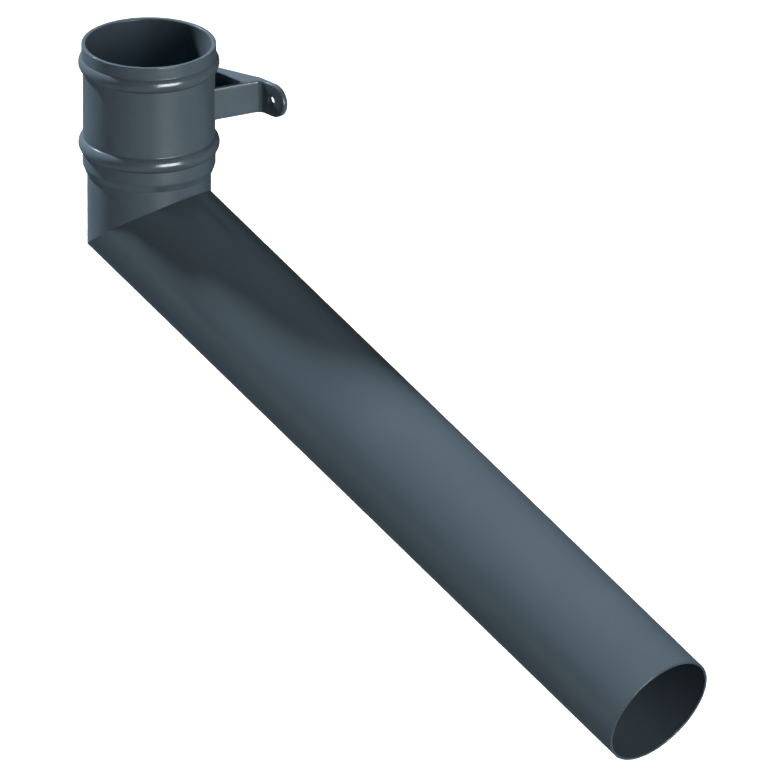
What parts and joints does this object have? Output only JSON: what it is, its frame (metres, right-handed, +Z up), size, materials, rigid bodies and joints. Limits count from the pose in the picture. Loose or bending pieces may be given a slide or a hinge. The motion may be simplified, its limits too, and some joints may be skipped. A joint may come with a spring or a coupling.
{
  "type": "downpipe elbow",
  "caption": "Round downpipe elbow: a beaded socket collar with stand-off wall ears, a short upright stub and a long mitred offset tube.",
  "frame": {"origin": "on the socket's axis, at the level inside the collar where the pipe from above lands", "axes": "+Z up out of the socket's mouth, +Y towards the wall that the ears are screwed to, +X the way the lower tube is offset"},
  "size_m": [0.5284, 0.1013, 0.3379],
  "materials": {
    "cast_paint": "satin slate grey powder coat on cast aluminium",
    "pipe_paint": "satin slate grey powder coat on aluminium pipe"
  },
  "bodies": {
    "root": {"eared_collar": "cast_paint", "upper_stub": "pipe_paint", "offset_tube": "pipe_paint"}
  },
  "joints": []
}
